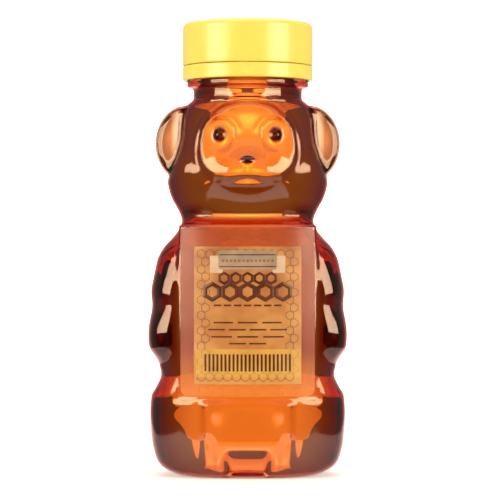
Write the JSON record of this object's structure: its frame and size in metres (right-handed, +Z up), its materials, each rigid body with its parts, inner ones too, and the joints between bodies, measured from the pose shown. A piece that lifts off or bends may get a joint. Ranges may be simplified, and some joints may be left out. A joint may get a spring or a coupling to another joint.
{
  "type": "honey bear bottle",
  "caption": "Clear squeeze bottle shaped as a seated bear, filled with honey, with a threaded neck, a blank patterned front label and a screw cap with a hinged flip lid and pouring spout.",
  "frame": {"origin": "middle of the foot, on the table, under the neck axis", "axes": "+Z up along the neck axis, -Y out of the bear's face and label, +X towards the right in a front view"},
  "size_m": [0.0684, 0.0488, 0.1562],
  "materials": {
    "clear_plastic": "clear gloss",
    "honey": "clear amber",
    "label_film": "printed film",
    "foil": "satin",
    "foam": "matte",
    "cap_plastic": "semi-gloss"
  },
  "bodies": {
    "bottle": {"bear_body": "clear_plastic", "neck_finish": "clear_plastic", "honey": "honey", "front_label": "label_film", "foil_seal": "foil"},
    "liner": {"cap_liner": "foam"},
    "cap": {"cap_base": "cap_plastic", "living_hinge": "cap_plastic"},
    "lid": {"flip_lid": "cap_plastic"}
  },
  "joints": [
    {"name": "cap_rise", "type": "slide", "parent": "bottle", "child": "liner", "axis": [0, 0, 1], "range_m": [0, 0.0127]},
    {"name": "cap_turn", "type": "hinge", "parent": "liner", "child": "cap", "pos_m": [0, 0, 0.141], "axis": [0, 0, 1], "range_deg": [0, 1080]},
    {"name": "lid_flip", "type": "hinge", "parent": "cap", "child": "lid", "pos_m": [0, 0.0225, 0.14133], "axis": [-1, 0, 0], "range_deg": [0, 140], "deforming": ["living_hinge"]}
  ],
  "couplings": [
    {"joint": "cap_rise", "follows": "cap_turn", "m_per_rad": 0.0006737}
  ]
}
